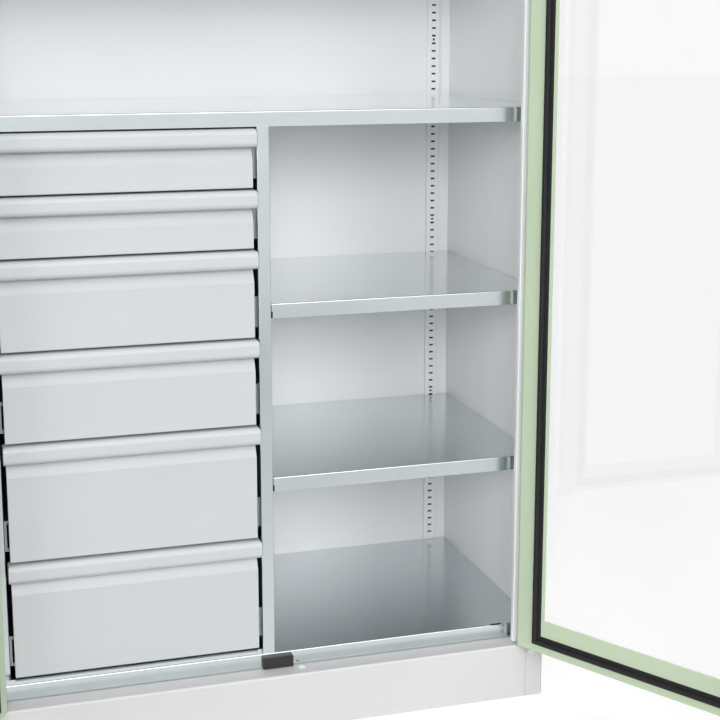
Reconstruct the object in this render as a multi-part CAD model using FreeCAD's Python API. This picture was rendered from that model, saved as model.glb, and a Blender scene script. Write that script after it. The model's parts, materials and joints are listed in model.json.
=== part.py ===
"""Two-door steel storage cabinet with clear door panes, six drawers, shelves and a rod lock.

Millimetres. +Z is up, +X to the right and the front faces -Y. The origin is on the floor, under
the middle of the plinth's front wall. The doors are stored open, as they stand when the cabinet is in use.
"""

import FreeCAD, Part
import math
import os

from FreeCAD import Vector

# Housing
WIDTH = 1000.0
BODY_DEPTH = 500.0
HEIGHT = 1950.0
PLINTH_HEIGHT = 100.0
PLINTH_OVERHANG = 19.0
PLINTH_EDGE_RADIUS = 4.0
ROOF_HEIGHT = 40.0
WALL = 1.5
POST_WIDTH = 33.5
SEAM = 0.5
FLANGE_WIDTH = 51.0
FLANGE_RETURN = 10.0
REAR_RETURN = 30.0
BACK_INSET = 10.0
LIP_WIDTH = 28.0

# Shelves and partition
SHELF_SETBACK = 20.0
SHELF_FLANGE = 25.0
SHELF_SHEET = 1.5
SHELF_BEND = 2.0
SHELF_END_GAP = 0.5
SILL_GAP = 1.5
SILL_FLANGE = 25.5
PARTITION_WIDTH = 21.3
HALF_SHELF_LOWER_TOP = 443.5
HALF_SHELF_UPPER_TOP = 744.5
UPPER_SHELVES = 2

# Slotted shelf rails on the back panel
RAIL_INSET = 38.0
RAIL_WIDTH = 26.0
RAIL_DEPTH = 6.0
SLOT_WIDTH = 8.5
SLOT_HEIGHT = 3.5
SLOT_PITCH = 15.0
SLOTS_PER_HOLE = 24
RAIL_HOLE_DIAMETER = 5.0
RAIL_FIRST_HOLE = 91.5
CLIP_WIDTH = 12.0
CLIP_HEIGHT = 11.0
CLIP_REACH = 14.0
CLIP_SHEET = 2.5
CLIP_PLAY = 0.2

# Drawers, from the top
DRAWER_PITCHES = (100.0, 100.0, 150.0, 150.0, 200.0, 200.0)
DRAWER_RAISE = 8.0
DRAWER_GAP = 3.0
DRAWER_INSET = 66.0
DRAWER_SIDE_GAP = 2.0
DRAWER_FRONT_SETBACK = 2.0
GRIP_OVERHANG = 4.5
GRIP_HEIGHT = 30.0
GRIP_END_RADIUS = 3.0
GRIP_REACH = 14.0
GRIP_RADIUS = 9.0
GRIP_RECESS = 12.0
GRIP_SLOPE = 24.0
FRONT_THICKNESS = 16.0
BOX_BACK_GAP = 22.0
BOX_SHEET = 1.2
BOX_HEADROOM = 26.0
RUNNER_SPACE = 12.7
RUNNER_HEIGHT = 52.0
RUNNER_END_GAP = 6.0
RUNNER_SHEET = 1.5
RUNNER_GAP = 0.5
RUNNER_RISE = 14.0
CARRIER_FLANGE = 30.0

# Doors, given in their closed place
DOOR_OPEN_ANGLE = 120.0
DOOR_THICKNESS = 30.0
DOOR_STANDOFF = 9.5
DOOR_MEETING_GAP = 2.0
DOOR_BOTTOM_GAP = 3.0
DOOR_TOP_GAP = 3.0
DOOR_HINGE_EDGE_RADIUS = 4.0
DOOR_EDGE_RADIUS = 3.0
HINGE_BAND = 30.0
FRAME_HINGE_SIDE = 60.5
FRAME_LOCK_SIDE = 86.0
FRAME_ENDS = 62.5
INNER_FRAME_STEP = 1.0
PANE_THICKNESS = 4.0
PANE_LIP = 1.5
PANE_LAP = 7.0
PANE_BAY = 20.0
PANE_CLEARANCE = 0.1
SEAL_WIDTH = 18.0
SEAL_CLEARANCE = 0.3
SEAL_HINGE_OFFSET = 36.0
SEAL_END_OFFSET = 14.0
SEAL_LOCK_OFFSET = 19.0
SEAL_LIP = 2.0
AXIS_FROM_EDGE = 23.0
AXIS_FROM_FACE = 22.0
PIN_DIAMETER = 8.0
PIN_CLEARANCE = 0.05
PIN_LENGTH = 30.0
BRACKET_THICKNESS = 8.0
BRACKET_WIDTH = 28.0
BRACKET_DROP = 2.0
BRACKET_CORNER = 8.0
COLLAR_DIAMETER = 16.0
COLLAR_GAP = 0.3
STRIP_INNER = 14.0
STRIP_REACH = 19.0
STRIP_THICKNESS = 4.0
STRIP_CLEARANCE = 0.5

# Rod lock on the right door
ROD_X = 55.0
ROD_DIAMETER = 8.0
ROD_FROM_FACE = 13.5
BUSH_DIAMETER = 14.0
BUSH_BORE = 11.0
BUSH_DEPTH = 22.0
ROD_TIP_GAP = 4.0
HANDLE_HEIGHT = 1050.0
SPINDLE_DIAMETER = 10.0
LEVER_LENGTH = 105.0
LEVER_WIDTH = 22.0
LEVER_THICKNESS = 12.0
LEVER_STANDOFF = 22.0
LEVER_BEVEL = 2.5
PLATE_LENGTH = 170.0
PLATE_WIDTH = 42.0
PLATE_THICKNESS = 8.0
CYLINDER_DROP = -52.0
CYLINDER_DIAMETER = 20.0
CYLINDER_PROUD = 5.0
KEY_SLOT_WIDTH = 2.0
KEY_SLOT_LENGTH = 9.0
KEY_SLOT_DEPTH = 4.0
RUNNING_CLEARANCE = 0.05
CAM_LENGTH = 24.0
CAM_THICKNESS = 4.0
CASE_WIDTH = 31.0
CASE_HEIGHT = 110.0
CASE_DEPTH = 20.0
CASE_SHEET = 1.5
GUIDE_WIDTH = 18.0
GUIDE_HEIGHT = 16.0
GUIDE_SETBACK = 60.0

# Black stop block and small ledge holes
BLOCK_LEFT = -12.5
BLOCK_RIGHT = 41.5
BLOCK_HEIGHT = 20.0
BLOCK_DEPTH = 8.0
BLOCK_RADIUS = 2.0
LEDGE_HOLE_DIAMETER = 6.0
LEDGE_HOLE_SETBACK = 14.0

# Places worked out from the sizes above
HALF = WIDTH / 2
INSIDE = HALF - WALL
PLINTH_FRONT = -WALL / 2
FRONT = PLINTH_FRONT + PLINTH_OVERHANG
REAR = FRONT + BODY_DEPTH
BACK_FACE = REAR - BACK_INSET
SHELF_FRONT = FRONT + SHELF_SETBACK
OPENING_HALF = HALF - FLANGE_WIDTH
ROOF_BOTTOM = HEIGHT - ROOF_HEIGHT
SILL_TOP = PLINTH_HEIGHT + SILL_GAP + SILL_FLANGE
DRAWERS_BOTTOM = SILL_TOP + DRAWER_RAISE
MAIN_SHELF_BOTTOM = DRAWERS_BOTTOM + sum(DRAWER_PITCHES) + DRAWER_GAP
MAIN_SHELF_TOP = MAIN_SHELF_BOTTOM + SHELF_FLANGE
UPPER_STEP = (ROOF_BOTTOM - MAIN_SHELF_TOP) / (UPPER_SHELVES + 1)
UPPER_SHELF_TOPS = [MAIN_SHELF_TOP + UPPER_STEP * (n + 1) for n in range(UPPER_SHELVES)]
RAIL_CENTRE = HALF - RAIL_INSET
PARTITION_HALF = PARTITION_WIDTH / 2
DRAWER_LEFT = DRAWER_INSET - HALF
DRAWER_RIGHT = -PARTITION_HALF - DRAWER_SIDE_GAP
CARRIER_FACE = DRAWER_LEFT - SHELF_BEND
BOX_LEFT = CARRIER_FACE + RUNNER_SPACE
BOX_RIGHT = -PARTITION_HALF - RUNNER_SPACE
DRAWER_FACE = SHELF_FRONT + DRAWER_FRONT_SETBACK
BOX_FRONT = DRAWER_FACE + FRONT_THICKNESS
BOX_BACK = BACK_FACE - BOX_BACK_GAP
CLIP_PLACES = (SHELF_FRONT + SHELF_SHEET + CLIP_PLAY, BACK_FACE - RAIL_DEPTH - 2 * CLIP_WIDTH)
RUNNER_FRONT = BOX_FRONT + 2 * SHELF_BEND
RUNNER_BACK = BOX_BACK - RUNNER_END_GAP
DOOR_INNER = FRONT - DOOR_STANDOFF
DOOR_FACE = DOOR_INNER + INNER_FRAME_STEP
DOOR_OUTER = DOOR_INNER - DOOR_THICKNESS
DOOR_BOTTOM = PLINTH_HEIGHT + DOOR_BOTTOM_GAP
DOOR_TOP = ROOF_BOTTOM - DOOR_TOP_GAP
AXIS_X = HALF - AXIS_FROM_EDGE
AXIS_Y = DOOR_INNER - AXIS_FROM_FACE
ROD_Y = DOOR_FACE + ROD_FROM_FACE

TOUCHING = 1e-6
UP = Vector(0, 0, 1)
TOWARDS_BACK = Vector(0, 1, 0)


def box(x0, x1, y0, y1, z0, z1):
    """A block between two opposite corners."""
    return Part.makeBox(x1 - x0, y1 - y0, z1 - z0, Vector(x0, y0, z0))


def rod(x, y, z0, z1, diameter):
    """An upright round bar."""
    return Part.makeCylinder(diameter / 2, z1 - z0, Vector(x, y, z0), UP)


def across(x, z, y0, y1, diameter):
    """A round bar that runs front to back."""
    return Part.makeCylinder(diameter / 2, y1 - y0, Vector(x, y0, z), TOWARDS_BACK)


def outline(corners, place):
    """A face inside straight sides that meet at corners (u, v, radius), put in space by place(u, v)."""
    points = [(Vector(u, v, 0), r) for u, v, r in corners]
    starts, edges = [], []
    for n, (corner, radius) in enumerate(points):
        before = corner - points[n - 1][0]
        after = points[(n + 1) % len(points)][0] - corner
        before.normalize()
        after.normalize()
        if radius == 0:
            starts.append((corner, None, corner))
            continue
        half_turn = before.getAngle(after) / 2
        reach = radius * math.tan(half_turn)
        inwards = (after - before).normalize()
        middle = corner + inwards * (radius / math.cos(half_turn) - radius)
        starts.append((corner - before * reach, middle, corner + after * reach))
    for n, (start, middle, end) in enumerate(starts):
        if middle is not None:
            arc = Part.Arc(place(start.x, start.y), place(middle.x, middle.y), place(end.x, end.y))
            edges.append(arc.toShape())
        following = starts[(n + 1) % len(starts)][0]
        if end.distanceToPoint(following) > TOUCHING:
            edges.append(Part.LineSegment(place(end.x, end.y), place(following.x, following.y)).toShape())
    return Part.Face(Part.Wire(edges))


def upright(corners, z0, z1):
    """A plan section (x, y, radius) carried up from z0 to z1."""
    return outline(corners, lambda u, v: Vector(u, v, z0)).extrude(Vector(0, 0, z1 - z0))


def lengthwise(corners, x0, x1):
    """A side section (y, z, radius) carried along X from x0 to x1."""
    return outline(corners, lambda u, v: Vector(x0, u, v)).extrude(Vector(x1 - x0, 0, 0))


def front_to_back(corners, y0, y1):
    """A front section (x, z, radius) carried along Y from y0 to y1."""
    return outline(corners, lambda u, v: Vector(u, y0, v)).extrude(Vector(0, y1 - y0, 0))


def mirrored(shape):
    """The same piece on the other side of the cabinet."""
    return shape.mirror(Vector(0, 0, 0), Vector(1, 0, 0))


def opened(shape):
    """A piece of the right door, swung from its closed place to where it stands open."""
    swung = shape.copy()
    swung.rotate(Vector(AXIS_X, AXIS_Y, 0), UP, DOOR_OPEN_ANGLE)
    return swung


def save(node, *solids):
    """Write one piece, or one group of like pieces, as a STEP file."""
    shape = solids[0] if len(solids) == 1 else Part.makeCompound(list(solids))
    shape.exportStep("parts/" + node + ".step")


def plinth_front():
    """Folded front panel of the plinth: upright face, rounded edge and the ledge under the doors."""
    back = SHELF_FRONT + LIP_WIDTH
    section = [
        (PLINTH_FRONT, 0, 0),
        (PLINTH_FRONT, PLINTH_HEIGHT, PLINTH_EDGE_RADIUS),
        (back, PLINTH_HEIGHT, 0),
        (back, PLINTH_HEIGHT - WALL, 0),
        (PLINTH_FRONT + WALL, PLINTH_HEIGHT - WALL, PLINTH_EDGE_RADIUS - WALL),
        (PLINTH_FRONT + WALL, 0, 0),
    ]
    reach = HALF - POST_WIDTH - SEAM
    panel = lengthwise(section, -reach, reach)
    below = PLINTH_HEIGHT - 2 * WALL
    above = PLINTH_HEIGHT + WALL
    panel = panel.cut(rod(ROD_X, ROD_Y, below, above, BUSH_DIAMETER))
    for x in (-OPENING_HALF, OPENING_HALF):
        hole_y = PLINTH_FRONT + LEDGE_HOLE_SETBACK
        panel = panel.cut(rod(x, hole_y, below, above, LEDGE_HOLE_DIAMETER))
    return panel


def plinth_frame():
    """Sides and back of the plinth, with the lips that carry the housing and the two corner posts."""
    frame = box(-HALF, HALF, FRONT, REAR, 0, PLINTH_HEIGHT)
    frame = frame.cut(box(-INSIDE, INSIDE, FRONT, REAR - WALL, 0, PLINTH_HEIGHT - WALL))
    lip = HALF - POST_WIDTH
    frame = frame.cut(box(-lip, lip, FRONT, REAR - LIP_WIDTH, PLINTH_HEIGHT - WALL, PLINTH_HEIGHT))
    post = upright(
        [
            (lip, PLINTH_FRONT, PLINTH_EDGE_RADIUS / 2),
            (HALF, PLINTH_FRONT, PLINTH_EDGE_RADIUS),
            (HALF, SHELF_FRONT + LIP_WIDTH, 0),
            (lip, SHELF_FRONT + LIP_WIDTH, 0),
        ],
        0,
        PLINTH_HEIGHT,
    )
    hollow = box(lip + WALL, INSIDE, PLINTH_FRONT + WALL, SHELF_FRONT + LIP_WIDTH - WALL, 0,
                 PLINTH_HEIGHT - WALL)
    post = post.cut(hollow)
    return frame.fuse(post).fuse(mirrored(post)).removeSplitter()


def side_panel():
    """Right side panel: one sheet with a front flange, its inner return and a rear return."""
    section = [
        (HALF, FRONT, WALL),
        (HALF, REAR, WALL),
        (HALF - REAR_RETURN, REAR, 0),
        (HALF - REAR_RETURN, REAR - WALL, 0),
        (INSIDE, REAR - WALL, 0),
        (INSIDE, FRONT + WALL, 0),
        (OPENING_HALF + WALL, FRONT + WALL, 0),
        (OPENING_HALF + WALL, FRONT + FLANGE_RETURN, 0),
        (OPENING_HALF, FRONT + FLANGE_RETURN, 0),
        (OPENING_HALF, FRONT, WALL),
    ]
    return upright(section, PLINTH_HEIGHT, ROOF_BOTTOM)


def back_panel():
    """Back sheet with its two edges folded rearwards onto the side panels' returns."""
    edge = INSIDE - SHELF_END_GAP
    section = [
        (-edge, BACK_FACE, 0),
        (edge, BACK_FACE, 0),
        (edge, REAR - WALL, 0),
        (edge - WALL, REAR - WALL, 0),
        (edge - WALL, BACK_FACE + WALL, 0),
        (-edge + WALL, BACK_FACE + WALL, 0),
        (-edge + WALL, REAR - WALL, 0),
        (-edge, REAR - WALL, 0),
    ]
    return upright(section, PLINTH_HEIGHT, ROOF_BOTTOM)


def roof_panel():
    """Roof tray with a front fascia over the doors and a fold under it for the upper rod."""
    shell = box(-HALF, HALF, PLINTH_FRONT, REAR, ROOF_BOTTOM, HEIGHT)
    top_edges = [e for e in shell.Edges if e.BoundBox.ZMin > HEIGHT - WALL]
    shell = shell.makeFillet(PLINTH_EDGE_RADIUS, top_edges)
    shell = shell.cut(box(-INSIDE, INSIDE, PLINTH_FRONT + WALL, REAR - WALL, ROOF_BOTTOM, HEIGHT - WALL))
    fold = box(-INSIDE, INSIDE, PLINTH_FRONT, SHELF_FRONT + LIP_WIDTH, ROOF_BOTTOM, ROOF_BOTTOM + WALL)
    fold = fold.cut(rod(ROD_X, ROD_Y, ROOF_BOTTOM, ROOF_BOTTOM + WALL, BUSH_DIAMETER))
    return shell.fuse(fold).removeSplitter()


def shelf(left, right, top, flange, side_flange, clipped=True):
    """Galvanised shelf: a tray turned down on all four sides, cut out at the back round the shelf rails."""
    back = BACK_FACE - SHELF_END_GAP
    tray = lengthwise(
        [
            (SHELF_FRONT, top - flange, 0),
            (SHELF_FRONT, top, SHELF_BEND),
            (back, top, 0),
            (back, top - side_flange, 0),
            (back - SHELF_SHEET, top - side_flange, 0),
            (back - SHELF_SHEET, top - SHELF_SHEET, 0),
            (SHELF_FRONT + SHELF_SHEET, top - SHELF_SHEET, SHELF_BEND - SHELF_SHEET),
            (SHELF_FRONT + SHELF_SHEET, top - flange, 0),
        ],
        left,
        right,
    )
    for x in (left, right - SHELF_SHEET):
        inner = SHELF_FRONT + SHELF_SHEET
        tray = tray.fuse(box(x, x + SHELF_SHEET, inner, back, top - side_flange, top))
    notch_front = BACK_FACE - RAIL_DEPTH - SHELF_END_GAP
    for centre in (-RAIL_CENTRE, RAIL_CENTRE):
        reach = RAIL_WIDTH / 2 + SHELF_END_GAP
        tray = tray.cut(box(centre - reach, centre + reach, notch_front, REAR, top - 2 * flange, HEIGHT))
    if clipped:
        low = top - side_flange
        wide = SHELF_SHEET + SHELF_END_GAP + CLIP_PLAY
        for y in CLIP_PLACES:
            y0 = y - 2 * CLIP_PLAY
            y1 = y + CLIP_WIDTH + CLIP_PLAY
            tray = tray.cut(box(left, left + wide, y0, y1, low, low + CLIP_HEIGHT))
            tray = tray.cut(box(right - wide, right, y0, y1, low, low + CLIP_HEIGHT))
        slit = CLIP_SHEET - SHELF_END_GAP + CLIP_PLAY
        y1 = SHELF_FRONT + SHELF_SHEET
        for x in (left, right - slit):
            tray = tray.cut(box(x, x + slit, SHELF_FRONT, y1, low, low + CLIP_HEIGHT))
    return tray.removeSplitter()


def full_shelf(top):
    """A shelf from side panel to side panel."""
    reach = INSIDE - SHELF_END_GAP
    return shelf(-reach, reach, top, SHELF_FLANGE, SHELF_FLANGE)


def bottom_shelf():
    """The lowest shelf, which also closes the housing above the plinth and makes the sill."""
    reach = INSIDE - SHELF_END_GAP
    return shelf(-reach, reach, SILL_TOP, SILL_FLANGE, SILL_TOP - PLINTH_HEIGHT, clipped=False)


def half_shelf(top):
    """A shelf between the partition and the right side panel."""
    return shelf(PARTITION_HALF + SHELF_END_GAP, INSIDE - SHELF_END_GAP, top, SHELF_FLANGE, SHELF_FLANGE)


def centre_partition():
    """Double-walled galvanised partition between the drawers and the half-width shelves."""
    back = BACK_FACE - SHELF_END_GAP
    bend = SHELF_BEND
    outer = upright(
        [
            (-PARTITION_HALF, SHELF_FRONT, bend),
            (PARTITION_HALF, SHELF_FRONT, bend),
            (PARTITION_HALF, back, 0),
            (-PARTITION_HALF, back, 0),
        ],
        SILL_TOP,
        MAIN_SHELF_BOTTOM,
    )
    inside = PARTITION_HALF - SHELF_SHEET
    hollow = box(-inside, inside, SHELF_FRONT + SHELF_SHEET, back - SHELF_SHEET, SILL_TOP, MAIN_SHELF_BOTTOM)
    return outer.cut(hollow)


def shelf_rail(bottom):
    """Right shelf rail from bottom up: a hat section on the back panel, with slots and a hole at each stage."""
    low = RAIL_CENTRE - RAIL_WIDTH / 2
    high = RAIL_CENTRE + RAIL_WIDTH / 2
    face = BACK_FACE - RAIL_DEPTH
    section = [
        (low, face, WALL),
        (high, face, WALL),
        (high, BACK_FACE, 0),
        (high - WALL, BACK_FACE, 0),
        (high - WALL, face + WALL, 0),
        (low + WALL, face + WALL, 0),
        (low + WALL, BACK_FACE, 0),
        (low, BACK_FACE, 0),
    ]
    top = ROOF_BOTTOM - SHELF_END_GAP
    rail = upright(section, bottom, top)
    half_slot = SLOT_WIDTH / 2
    punches = []
    number = 0
    while True:
        z = RAIL_FIRST_HOLE + (number + 0.5) * SLOT_PITCH
        if z > top - SLOT_PITCH:
            break
        if z > bottom + SLOT_PITCH / 2:
            punches.append(
                box(RAIL_CENTRE - half_slot, RAIL_CENTRE + half_slot, face - WALL, face + 2 * WALL,
                    z - SLOT_HEIGHT / 2, z + SLOT_HEIGHT / 2)
            )
            if number % SLOTS_PER_HOLE == 0:
                hole = z - SLOT_PITCH / 2
                punches.append(across(RAIL_CENTRE, hole, face - WALL, face + 2 * WALL, RAIL_HOLE_DIAMETER))
        number += 1
    return rail.cut(Part.makeCompound(punches))


def clip(x, y, shelf_bottom, outwards):
    """Shelf clip: a small angle fixed upright at x, whose arm carries the top of a notch in the shelf's flange."""
    top = shelf_bottom + CLIP_HEIGHT
    far = x + outwards * CLIP_REACH
    low, high = sorted((x, far))
    arm = box(low, high, y, y + CLIP_WIDTH, top - CLIP_SHEET, top)
    foot_end = x + outwards * CLIP_SHEET
    low, high = sorted((x, foot_end))
    return arm.fuse(box(low, high, y, y + CLIP_WIDTH, top - CLIP_HEIGHT, top)).removeSplitter()


def shelf_clips():
    """Clips at both ends of every shelf, on the side panels and the partition."""
    clips = []
    for top in [MAIN_SHELF_TOP] + UPPER_SHELF_TOPS:
        for y in CLIP_PLACES:
            clips.append(clip(INSIDE, y, top - SHELF_FLANGE, -1))
            clips.append(clip(-INSIDE, y, top - SHELF_FLANGE, 1))
    for top in (HALF_SHELF_LOWER_TOP, HALF_SHELF_UPPER_TOP):
        for y in CLIP_PLACES:
            clips.append(clip(INSIDE, y, top - SHELF_FLANGE, -1))
            clips.append(clip(PARTITION_HALF, y, top - SHELF_FLANGE, 1))
    return clips


def drawer_carrier():
    """Upright folded panel at the left that carries the left-hand runners."""
    front = BOX_FRONT + SHELF_BEND
    back = BACK_FACE - RAIL_DEPTH - SHELF_END_GAP
    section = [
        (CARRIER_FACE, front, SHELF_BEND),
        (CARRIER_FACE, back, SHELF_BEND),
        (CARRIER_FACE - CARRIER_FLANGE, back, 0),
        (CARRIER_FACE - CARRIER_FLANGE, back - SHELF_SHEET, 0),
        (CARRIER_FACE - SHELF_SHEET, back - SHELF_SHEET, 0),
        (CARRIER_FACE - SHELF_SHEET, front + SHELF_SHEET, 0),
        (CARRIER_FACE - CARRIER_FLANGE, front + SHELF_SHEET, 0),
        (CARRIER_FACE - CARRIER_FLANGE, front, 0),
    ]
    return upright(section, SILL_TOP, MAIN_SHELF_BOTTOM)


def channel(face, towards, web, lips, half_height, z):
    """A runner member: web and two lips of sheet, standing off face, with the lips reaching to lips."""
    inner = half_height - RUNNER_SHEET
    back_of_web = web + RUNNER_SHEET if lips > web else web - RUNNER_SHEET
    section = [
        (face + towards * web, z - half_height, 0),
        (face + towards * lips, z - half_height, 0),
        (face + towards * lips, z - inner, 0),
        (face + towards * back_of_web, z - inner, 0),
        (face + towards * back_of_web, z + inner, 0),
        (face + towards * lips, z + inner, 0),
        (face + towards * lips, z + half_height, 0),
        (face + towards * web, z + half_height, 0),
    ]
    return front_to_back(section, RUNNER_FRONT, RUNNER_BACK)


def runner_pair(member, drawer_bottom):
    """Left and right members of one kind: fixed on the cabinet, in the middle, or on the drawer."""
    z = drawer_bottom + RUNNER_RISE + RUNNER_HEIGHT / 2
    step = RUNNER_SHEET + RUNNER_GAP
    half = RUNNER_HEIGHT / 2
    fixed = (0.0, RUNNER_SPACE - 2 * step, half)
    middle = (step, RUNNER_SPACE - step, half - step)
    sliding = (RUNNER_SPACE, 2 * step, half - 2 * step)
    web, lips, half_height = {"fixed": fixed, "middle": middle, "sliding": sliding}[member]
    left = channel(CARRIER_FACE, 1, web, lips, half_height, z)
    right = channel(-PARTITION_HALF, -1, web, lips, half_height, z)
    return left, right


def drawer_front(top, pitch):
    """Folded drawer front: rounded grip that is wider than the face, finger recess, sloped band and flat face."""
    low = top - pitch + DRAWER_GAP
    under_grip = top - GRIP_HEIGHT
    face = [
        (BOX_FRONT, low, 0),
        (BOX_FRONT, under_grip, 0),
        (DRAWER_FACE + GRIP_RECESS, under_grip, 0),
        (DRAWER_FACE, under_grip - GRIP_SLOPE, 0),
        (DRAWER_FACE, low, SHELF_BEND),
    ]
    grip = [
        (BOX_FRONT, under_grip, 0),
        (BOX_FRONT, top, 0),
        (DRAWER_FACE - GRIP_REACH, top, GRIP_RADIUS),
        (DRAWER_FACE - GRIP_REACH, under_grip, GRIP_RADIUS),
    ]
    bar = lengthwise(grip, DRAWER_LEFT, DRAWER_RIGHT)
    corners = [
        (DRAWER_LEFT, under_grip, 0),
        (DRAWER_RIGHT, under_grip, 0),
        (DRAWER_RIGHT, top, GRIP_END_RADIUS),
        (DRAWER_LEFT, top, GRIP_END_RADIUS),
    ]
    bar = bar.common(front_to_back(corners, DRAWER_FACE - GRIP_REACH, BOX_FRONT))
    panel = lengthwise(face, DRAWER_LEFT + GRIP_OVERHANG, DRAWER_RIGHT - GRIP_OVERHANG)
    return bar.fuse(panel).removeSplitter()


def drawer_box(top, pitch):
    """Drawer box, open at the top, behind its front: a floor plate with two sides, a back and an inner front."""
    low = top - pitch + 2 * DRAWER_GAP
    high = top - BOX_HEADROOM
    floor = low + BOX_SHEET
    left = BOX_LEFT + BOX_SHEET
    right = BOX_RIGHT - BOX_SHEET
    return Part.makeCompound([
        box(BOX_LEFT, BOX_RIGHT, BOX_FRONT, BOX_BACK, low, floor),
        box(BOX_LEFT, left, BOX_FRONT, BOX_BACK, floor, high),
        box(right, BOX_RIGHT, BOX_FRONT, BOX_BACK, floor, high),
        box(left, right, BOX_BACK - BOX_SHEET, BOX_BACK, floor, high),
        box(left, right, BOX_FRONT, BOX_FRONT + BOX_SHEET, floor, high),
    ])


def window(grow, lock_grow, y0, y1):
    """The block of space inside the door frame, grown on its lock side and on its other three sides."""
    left = DOOR_MEETING_GAP + FRAME_LOCK_SIDE - lock_grow
    right = HALF - FRAME_HINGE_SIDE + grow
    return box(left, right, y0, y1, DOOR_BOTTOM + FRAME_ENDS - grow, DOOR_TOP - FRAME_ENDS + grow)


def door_frame():
    """Right door frame, closed: folded box stiles and rails, a thin lip round the window, with a wider bay
    in front of it that takes the pane, and two pivot bores."""
    section = [
        (DOOR_MEETING_GAP, DOOR_OUTER, DOOR_EDGE_RADIUS),
        (HALF, DOOR_OUTER, DOOR_EDGE_RADIUS),
        (HALF, DOOR_INNER, DOOR_HINGE_EDGE_RADIUS),
        (DOOR_MEETING_GAP, DOOR_INNER, DOOR_EDGE_RADIUS),
    ]
    leaf = upright(section, DOOR_BOTTOM, DOOR_TOP)
    inner_edge = HALF - HINGE_BAND
    leaf = leaf.fuse(box(DOOR_MEETING_GAP + DOOR_EDGE_RADIUS, inner_edge, DOOR_INNER - WALL, DOOR_FACE,
                         DOOR_BOTTOM, DOOR_TOP))
    leaf = leaf.cut(window(0, 0, DOOR_OUTER - WALL, DOOR_FACE + WALL))
    leaf = leaf.cut(window(PANE_BAY, PANE_LAP + PANE_CLEARANCE, DOOR_OUTER - WALL, DOOR_FACE - PANE_LIP))
    bore = PIN_DIAMETER + 2 * PIN_CLEARANCE
    depth = PIN_LENGTH + PIN_CLEARANCE
    leaf = leaf.cut(rod(AXIS_X, AXIS_Y, DOOR_BOTTOM, DOOR_BOTTOM + depth, bore))
    leaf = leaf.cut(rod(AXIS_X, AXIS_Y, DOOR_TOP - depth, DOOR_TOP, bore))
    return leaf.removeSplitter()


def door_pane():
    """Clear acrylic pane, bonded to the outer side of the frame's lip."""
    face = DOOR_FACE - PANE_LIP - PANE_CLEARANCE
    return window(PANE_LAP, PANE_LAP, face - PANE_THICKNESS, face)


def door_seal():
    """Black rubber seal round the door's inner face, with its edges drawn in."""
    height = FRONT - SEAL_CLEARANCE
    left = DOOR_MEETING_GAP + SEAL_LOCK_OFFSET
    right = HALF - SEAL_HINGE_OFFSET
    low = DOOR_BOTTOM + SEAL_END_OFFSET
    high = DOOR_TOP - SEAL_END_OFFSET
    ring = box(left, right, DOOR_FACE, height, low, high)
    crown = [e for e in ring.Edges if e.BoundBox.YMin > height - SEAL_CLEARANCE]
    ring = ring.makeChamfer(SEAL_LIP, crown)
    inside = box(left + SEAL_WIDTH, right - SEAL_WIDTH, DOOR_FACE, height, low + SEAL_WIDTH, high - SEAL_WIDTH)
    return ring.cut(inside)


def closing_strip():
    """Flat bar on the left door's meeting edge, in its closed place on the left, that the right door covers."""
    seat = -DOOR_MEETING_GAP - DOOR_EDGE_RADIUS
    inner = DOOR_FACE + STRIP_THICKNESS
    section = [
        (seat - STRIP_INNER, DOOR_FACE, 0),
        (seat, DOOR_FACE, 0),
        (seat, DOOR_FACE + STRIP_CLEARANCE, 0),
        (STRIP_REACH, DOOR_FACE + STRIP_CLEARANCE, 0),
        (STRIP_REACH, inner, STRIP_CLEARANCE),
        (seat - STRIP_INNER, inner, STRIP_CLEARANCE),
    ]
    return upright(section, DOOR_BOTTOM + 2 * SEAL_WIDTH, DOOR_TOP - 2 * SEAL_WIDTH)


def hinge_bracket(upper):
    """Right pivot bracket: a plate on the plinth post or the fascia, with a collar and the door's pin."""
    facing = -1 if upper else 1
    seat = ROOF_BOTTOM + BRACKET_DROP if upper else PLINTH_HEIGHT - BRACKET_DROP
    edge = DOOR_TOP if upper else DOOR_BOTTOM
    low, high = sorted((seat, seat - facing * BRACKET_THICKNESS))
    half = BRACKET_WIDTH / 2
    nose = AXIS_Y - half
    plate = upright(
        [
            (AXIS_X - half + BRACKET_CORNER, nose, 0),
            (AXIS_X + half - BRACKET_CORNER, nose, 0),
            (AXIS_X + half, nose + BRACKET_CORNER, 0),
            (AXIS_X + half, PLINTH_FRONT, 0),
            (AXIS_X - half, PLINTH_FRONT, 0),
            (AXIS_X - half, nose + BRACKET_CORNER, 0),
        ],
        low,
        high,
    )
    start, end = sorted((seat, edge - facing * COLLAR_GAP))
    bracket = plate.fuse(rod(AXIS_X, AXIS_Y, start, end, COLLAR_DIAMETER))
    start, end = sorted((seat, edge + facing * (PIN_LENGTH - COLLAR_GAP)))
    return bracket.fuse(rod(AXIS_X, AXIS_Y, start, end, PIN_DIAMETER)).removeSplitter()


def rod_bush(mouth, inwards):
    """Pale plastic cup, pressed in flush with a sheet at height mouth, that takes the end of a locking rod."""
    bottom = mouth + inwards * BUSH_DEPTH
    low, high = sorted((mouth, bottom))
    cup = rod(ROD_X, ROD_Y, low, high, BUSH_DIAMETER)
    low, high = sorted((mouth, bottom - inwards * WALL))
    return cup.cut(rod(ROD_X, ROD_Y, low, high, BUSH_BORE))


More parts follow.
